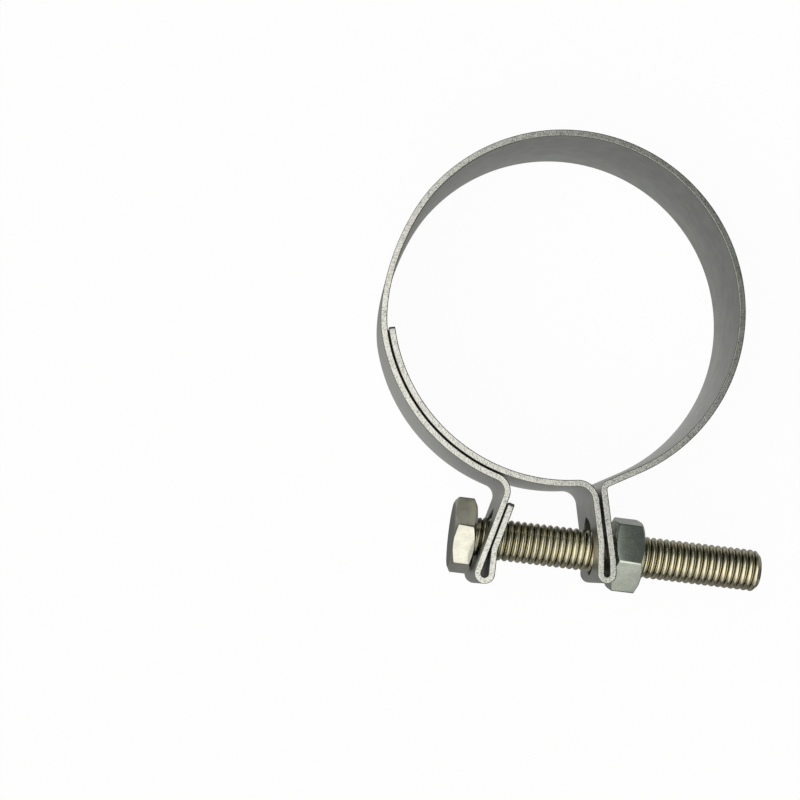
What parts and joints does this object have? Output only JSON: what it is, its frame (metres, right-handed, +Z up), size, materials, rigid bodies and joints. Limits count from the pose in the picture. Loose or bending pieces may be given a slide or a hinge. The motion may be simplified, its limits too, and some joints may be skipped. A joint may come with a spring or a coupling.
{
  "type": "bolt hose clamp",
  "caption": "Steel hose clamp: a folded strip forms the ring, an inner tongue and slotted ears, drawn together by a hexagon-head bolt and a nut.",
  "frame": {"origin": "on the bore axis, in the plane of the band's lower edge, on which the clamp lies", "axes": "+Z up along the bore axis, +X along the bolt from its head towards its tip, +Y from the bolt towards the ring"},
  "size_m": [0.0779, 0.087, 0.02],
  "materials": {
    "band_steel": "satin rolled stainless strip with bright sheared edges",
    "bolt_steel": "bright cold-formed stainless with rolled thread",
    "nut_steel": "tumbled stainless, faintly speckled"
  },
  "bodies": {
    "band": {"band": "band_steel"},
    "bolt": {"bolt": "bolt_steel"},
    "nut": {"nut": "nut_steel"}
  },
  "joints": [
    {"name": "bolt_turn", "type": "hinge", "parent": "band", "child": "bolt", "pos_m": [0, -0.0445, 0.01], "axis": [-1, 0, 0], "range_deg": [0, 6480]},
    {"name": "nut_travel", "type": "slide", "parent": "band", "child": "nut", "axis": [1, 0, 0], "range_m": [0, 0.0225]}
  ],
  "couplings": [
    {"joint": "nut_travel", "follows": "bolt_turn", "m_per_rad": 0.00019894}
  ]
}
